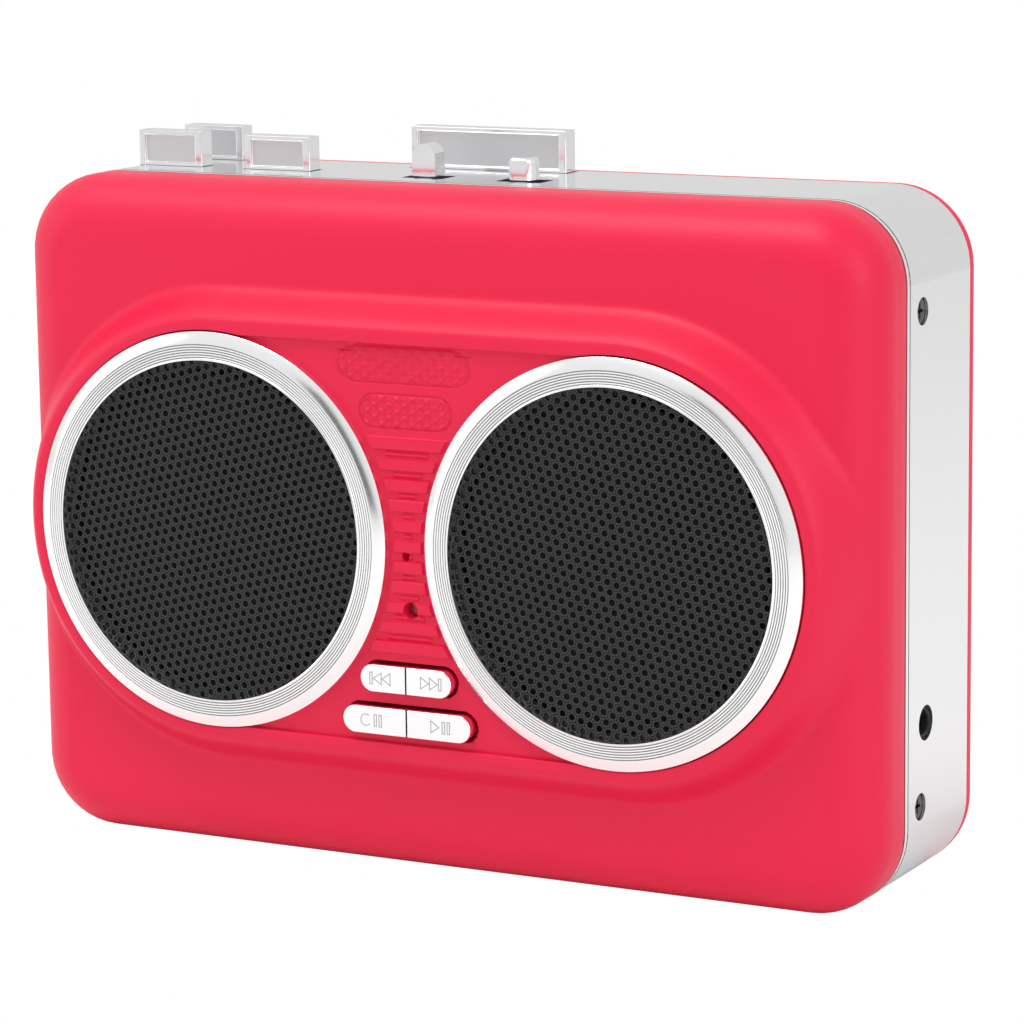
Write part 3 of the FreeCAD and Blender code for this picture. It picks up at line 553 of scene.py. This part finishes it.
# %% Punched grille
def punched_grille(side, x, turn, pitch=1.29, hole=0.43, sheet=0.4):
    """Hexagonal tiles with a round hole each, on a honeycomb that is turned a little about its middle."""
    front = panel_y - 0.4
    corners = 12
    angle = np.arange(corners) * 2 * np.pi / corners
    hexagon = (pitch / 2) / np.cos((angle + np.pi / 6) % (np.pi / 3) - np.pi / 6)
    loops = [(hexagon, 0.0), (np.full(corners, hole + 0.05), 0.0),
             (np.full(corners, hole), 0.05), (np.full(corners, hole), sheet)]
    tile = np.stack([np.stack([reach * np.sin(angle), np.full(corners, front + y), reach * np.cos(angle)], axis=-1)
                     for reach, y in loops])
    tile_faces = grid_faces(len(loops), corners, closed=True, flip=True)
    rows = int(grille_radius / (pitch * math.sqrt(3) / 2)) + 2
    index = np.arange(-rows, rows + 1)
    column, line = np.meshgrid(index, index, indexing="ij")
    spot_x = ((column + 0.5 * (line % 2)) * pitch).ravel()
    spot_z = (line * pitch * math.sqrt(3) / 2).ravel()
    keep = np.hypot(spot_x, spot_z) < grille_radius + 0.5
    spots = np.stack([spot_x[keep], np.zeros(keep.sum()), spot_z[keep]], axis=-1)
    points = (spots[:, None, None, :] + tile[None]).reshape(-1, 3)
    cosine, sine = math.cos(turn), math.sin(turn)
    points = np.stack([x + points[:, 0] * cosine - points[:, 2] * sine, points[:, 1],
                       mid_z + points[:, 0] * sine + points[:, 2] * cosine], axis=-1)
    first_point = np.arange(len(spots)) * tile.shape[0] * corners
    faces = (tile_faces[None] + first_point[:, None, None]).reshape(-1, 4)
    grille = put_mesh("grille_" + side, points, faces, material=finish["grille_steel"], smooth_below=50)
    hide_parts("speaker_grille_" + side)
    return len(spots)


grille_turn = {"left": math.radians(15.3), "right": math.radians(-16.2)}
for side, x in side_x.items():
    print(side, "grille holes:", punched_grille(side, x, grille_turn[side]))

# %% [markdown]
# ## Seam bead
# Where the red cover meets the plated band, the band has a thin raised bead that shows as a bright
# line. It is a small half-round profile carried along the case's outline.


# %% Bead along the outline
def outline_path(inset, steps=24):
    """Points and outward directions along the rounded rectangle, corner by corner."""
    turn = np.linspace(0, np.pi / 2, steps)
    radius = corner - inset
    quarters = [(1, 1, 0), (-1, 1, 1), (-1, -1, 2), (1, -1, 3)]
    angle = np.concatenate([turn + quarter * np.pi / 2 for _, _, quarter in quarters])
    centre_x = np.concatenate([np.full(steps, sx * (half_wide - corner)) for sx, _, _ in quarters])
    centre_z = np.concatenate([np.full(steps, mid_z + sz * (mid_z - corner)) for _, sz, _ in quarters])
    return centre_x + radius * np.cos(angle), centre_z + radius * np.sin(angle), angle


def bead(name, y, wide, inset, material):
    """A round bead: a circle of radius wide / 2 carried along the outline, its crest inset from the side."""
    path_x, path_z, angle = outline_path(inset + wide / 2)
    around = np.linspace(0, 2 * np.pi, 12, endpoint=False)[:, None]
    out = np.cos(around) * wide / 2
    points = np.stack([path_x + out * np.cos(angle), y + np.sin(around) * wide / 2 + 0 * angle,
                       np.maximum(path_z + out * np.sin(angle), 0)], axis=-1)
    faces = grid_faces(12, len(path_x), closed=True)
    closing = grid_faces(2, len(path_x), closed=True)
    closing = np.where(closing >= len(path_x), closing - len(path_x), closing + 11 * len(path_x))
    return put_mesh(name, points, faces, closing, material=material)


bright_lip = metal("bright_lip", (0.98, 0.98, 0.98), 0.05, lines=60.0, depth=0.02)
front_bead = bead("front_bead", band_front + 0.36, 0.7, -0.05, bright_lip)
# front_seam and rear_seam sit at the joins. front_line is a thin black line drawn round the band just behind the
# bright bead.
black_lines = {"front_seam": (band_front - 0.03, 0.22, 0.10),
         "front_line": (band_front + 0.86, 0.4, -0.03),
         "rear_seam": (band_high[1] + 0.02, 0.3, 0.2)}
for name, (y, wide, inset) in black_lines.items():
    bead(name, y, wide, inset, flat_black)

# %% [markdown]
# ## Keys and buttons
# The four keys have a finely textured floor sunk inside a polished frame. The four buttons are halves
# of two bars with round ends. A narrow rounded edge on each one catches a line of light.


# %% Blocks with softened edges
def soften(piece, wide):
    """Round the sharp edges of a piece with a small bevel."""
    bevel = piece.modifiers.new("soft_edges", "BEVEL")
    bevel.width = wide * MM
    bevel.segments = 3
    bevel.limit_method = "ANGLE"
    bevel.angle_limit = math.radians(40)
    bevel.harden_normals = True


def rectangle(low_x, high_x, low_z, high_z, y):
    """Four corners, anticlockwise seen from the front."""
    return [(low_x, y, low_z), (high_x, y, low_z), (high_x, y, high_z), (low_x, y, high_z)]


def head_span(node):
    """Lowest and highest corner of the part of a node that stands above the deck, in millimetres."""
    mesh = frame["nodes"][node].data
    points = np.empty(len(mesh.vertices) * 3)
    mesh.vertices.foreach_get("co", points)
    points = points.reshape(-1, 3) / MM
    head = points[points[:, 2] > case_top + 0.3]
    return head.min(axis=0), head.max(axis=0)


def key_cap(node, frame_left=0.9, frame_right=1.1, frame_top=0.55, frame_bottom=0.4, sunk=0.45):
    """A block whose front is a frame round a sunk floor. Its foot ends just under the deck."""
    low, high = head_span(node)
    foot = case_top - 0.1
    inner = low[0] + frame_left, high[0] - frame_right, case_top + frame_bottom, high[2] - frame_top
    outer = low[0], high[0], foot, high[2]
    points = np.array(rectangle(*outer, high[1]) + rectangle(*outer, low[1])
                      + rectangle(*inner, low[1]) + rectangle(*inner, low[1] + sunk))
    side = np.arange(4)
    beside = (side + 1) % 4
    bands = [np.stack([start + side, start + beside, start + 4 + beside, start + 4 + side], axis=-1)
             for start in (0, 4, 8)]
    caps = [[[3, 2, 1, 0], [12, 13, 14, 15]]]
    piece = put_mesh("cap_" + node, points, *bands, *caps, material=finish["key_chrome"], body=node,
                     smooth_below=180)
    soften(piece, 0.16)
    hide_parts(node)
    floor_y = low[1] + sunk - 0.02
    floor_points = np.array(rectangle(inner[0] + 0.1, inner[1] - 0.1,
                                      inner[2] + 0.1, inner[3] - 0.1, floor_y))
    texture = put_mesh("texture_" + node, floor_points, [[0, 1, 2, 3]], material=key_floor, body=node)


def button_cap(node, row_z, reach, side):
    """Half of a bar with a round end, split from its twin by a narrow gap."""
    low, high = span(node)
    end_x = reach - button_radius
    turn = np.linspace(-np.pi / 2, np.pi / 2, 25)
    x = side * np.concatenate([[0.09], end_x + button_radius * np.cos(turn), [0.09]])
    z = row_z + np.concatenate([[-button_radius], button_radius * np.sin(turn), [button_radius]])
    count = len(x)
    points = np.concatenate([np.stack([x, np.full(count, y), z], axis=-1) for y in (panel_y + 0.5, low[1])])
    walls = grid_faces(2, count, closed=True, flip=side < 0)
    front = [(np.arange(count)[::side] + count).tolist()]
    piece = put_mesh("cap_" + node, points, walls, front, material=button_chrome, body=node, smooth_below=180)
    soften(piece, 0.16)
    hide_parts(node)


key_floor = moulded("key_floor", (0.62, 0.62, 0.63), 0.34, pits=9000.0, depth=0.5, Metallic=0.9)
button_chrome = metal("button_chrome", (0.95, 0.95, 0.95), 0.07, lines=80.0, depth=0.03)
for name in ("rewind_key", "forward_key", "stop_key", "play_key"):
    key_cap(name)
button_places = {"previous_button": (0, -1), "next_button": (0, 1),
                 "loop_button": (1, -1), "pause_button": (1, 1)}
for name, (row_index, side) in button_places.items():
    button_cap(name, *button_rows[row_index], side)

# %% [markdown]
# ## Icons on the front buttons
# The four buttons carry the usual transport signs, engraved as fine outlines. Each outline is a ribbon:
# a path with a small width, laid a hair's breadth proud of the button.


# %% Icon ribbons
def ribbon(path, closed, wide=0.13):
    """Points and faces of a flat ribbon along a path in the XZ plane, mitred at its corners."""
    path = np.asarray(path, dtype=float)
    ahead = np.roll(path, -1, axis=0) - path
    behind = path - np.roll(path, 1, axis=0)
    if not closed:
        ahead[-1], behind[0] = behind[-1], ahead[0]
    ahead /= np.linalg.norm(ahead, axis=1)[:, None]
    behind /= np.linalg.norm(behind, axis=1)[:, None]
    tangent = ahead + behind
    tangent /= np.linalg.norm(tangent, axis=1)[:, None]
    normal = np.stack([-tangent[:, 1], tangent[:, 0]], axis=-1)
    stretch = 1 / np.clip(np.sum(tangent * ahead, axis=1), 0.45, 1)
    shift = normal * (stretch * wide / 2)[:, None]
    points = np.stack([path + shift, path - shift])
    return points.reshape(-1, 2), grid_faces(2, len(path), closed=closed)


def icon(name, node, shapes):
    """One piece from several ribbons on a button's front. Shapes are (closed, points) about its middle."""
    low, high = span(node)
    middle = (low[0] + high[0]) / 2, (low[2] + high[2]) / 2
    flats, faces, count = [], [], 0
    for closed, path in shapes:
        points, quads = ribbon(path, closed)
        flats.append(points)
        faces.append(quads + count)
        count += len(points)
    flat = np.concatenate(flats)
    points = np.stack([flat[:, 0] + middle[0], np.full(len(flat), low[1] - 0.012),
                       flat[:, 1] + middle[1]], axis=-1)
    piece = put_mesh(name, points, np.concatenate(faces), material=icon_grey, body=node)


icon_grey = metal("icon_grey", (0.50, 0.50, 0.51), 0.35)


def triangle(x, size, direction):
    """A transport triangle that points left or right."""
    return True, [(x, -size), (x + direction * 1.5 * size, 0), (x, size)]


def upright(x, size, wide=0.34):
    """A narrow outlined bar."""
    return True, [(x - wide / 2, -size), (x + wide / 2, -size), (x + wide / 2, size), (x - wide / 2, size)]


arc = [(0.72 * math.cos(t) - 0.9, 0.72 * math.sin(t)) for t in np.linspace(0.9, 5.6, 16)]
icon("icon_previous", "previous_button",
     [upright(-1.35, 0.75), triangle(0.1, 0.75, -1), triangle(1.35, 0.75, -1)])
icon("icon_next", "next_button", [triangle(-1.35, 0.75, 1), triangle(-0.1, 0.75, 1), upright(1.35, 0.75)])
icon("icon_loop", "loop_button", [(False, arc), upright(0.45, 0.75), upright(1.15, 0.75)])
icon("icon_play", "pause_button", [triangle(-1.3, 0.75, 1), upright(0.45, 0.75), upright(1.15, 0.75)])

# %% [markdown]
# ## Camera and studio
# The camera stands to the right of the player and a little above it, with a long lens. A large pale
# floor that curves up behind, a bright even surround and three soft panels give plated parts something
# plain to reflect. The floor is plain white to the camera. To everything else it is pale grey paper.

# %% Camera
eye = (245.7, -455.27, 140.41)
turn_left, tilt_down, roll = math.radians(27.87), math.radians(10.51), math.radians(-0.75)
view_ratio = 4148 / 1024
forward = np.array([-math.sin(turn_left) * math.cos(tilt_down),
                    math.cos(turn_left) * math.cos(tilt_down), -math.sin(tilt_down)])
right = np.array([math.cos(turn_left), math.sin(turn_left), 0.0])
up = np.cross(right, forward)
right_rolled = math.cos(roll) * right + math.sin(roll) * up
up_rolled = -math.sin(roll) * right + math.cos(roll) * up
camera_data = bpy.data.cameras.new("camera")
camera_data.sensor_width = 36.0
camera_data.lens = 36.0 * view_ratio
camera = bpy.data.objects.new("camera", camera_data)
bpy.context.collection.objects.link(camera)
axes = Matrix((right_rolled, up_rolled, -forward)).transposed().to_4x4()
camera.matrix_world = Matrix.Translation([c * MM for c in eye]) @ axes
bpy.context.scene.camera = camera
print(f"camera: {camera_data.lens:.1f} mm lens")

# %% Studio
world = bpy.data.worlds.new("studio")
bpy.context.scene.world = world
world.use_nodes = True
world.node_tree.nodes["Background"].inputs["Color"].default_value = (1.0, 1.0, 1.0, 1)
world.node_tree.nodes["Background"].inputs["Strength"].default_value = 0.82
bpy.context.scene.view_settings.view_transform = "Standard"

floor_material = moulded("floor_paper", (0.88, 0.88, 0.88), 0.8, depth=0.0, shade=0.0, gloss=0.0)
floor_tree = floor_material.node_tree
glow = floor_tree.nodes.new("ShaderNodeEmission")
glow.inputs["Strength"].default_value = 1.0
seen = floor_tree.nodes.new("ShaderNodeLightPath")
either = floor_tree.nodes.new("ShaderNodeMixShader")
floor_tree.links.new(seen.outputs["Is Camera Ray"], either.inputs[0])
floor_tree.links.new(floor_tree.nodes["Principled BSDF"].outputs[0], either.inputs[1])
floor_tree.links.new(glow.outputs[0], either.inputs[2])
floor_tree.links.new(either.outputs[0], floor_tree.nodes["Material Output"].inputs["Surface"])
floor_x = np.array([-2500.0, 2500.0])
sweep = np.linspace(0, np.pi / 2, 16)
run_y = np.concatenate([[-2500.0], 1200 + 600 * np.sin(sweep), [1800.0]])
run_z = np.concatenate([[0.0], 600 - 600 * np.cos(sweep), [2500.0]])
floor_points = np.stack([np.broadcast_to(floor_x[None, :], (18, 2)), np.broadcast_to(run_y[:, None], (18, 2)),
                         np.broadcast_to(run_z[:, None], (18, 2))], axis=-1)
floor = put_mesh("floor", floor_points, grid_faces(18, 2), material=floor_material)


def soft_panel(name, place, aim, wide, tall, power):
    """An area light, in millimetres, turned to face a point."""
    data = bpy.data.lights.new(name, "AREA")
    data.shape = "RECTANGLE"
    data.size, data.size_y = wide * MM, tall * MM
    data.energy = power
    lamp = bpy.data.objects.new(name, data)
    bpy.context.collection.objects.link(lamp)
    stand = Matrix.Translation([c * MM for c in place])
    back = stand.translation - Matrix.Translation([c * MM for c in aim]).translation
    lamp.matrix_world = stand @ back.to_track_quat("Z", "Y").to_matrix().to_4x4()


soft_panel("top_panel", (-150, -250, 700), (0, 0, 40), 500, 300, 2.0)
soft_panel("left_panel", (-600, -300, 250), (0, 0, 40), 300, 500, 0.3)
soft_panel("right_panel", (600, -250, 300), (0, 0, 40), 300, 500, 0.8)

# A black card gives the polished rings a dark stroke in their reflections. It is hidden from the camera,
# because it would stand in the picture when the player is seen from behind.
card_ends = np.array([[-2.0, -523.0, 361.0], [200.0, -540.0, 30.0]])
card_points = np.stack([card_ends - [55, 0, 0], card_ends + [55, 0, 0]])
card = put_mesh("dark_card", card_points, grid_faces(2, 2), material=flat_black)
card.visible_camera = False
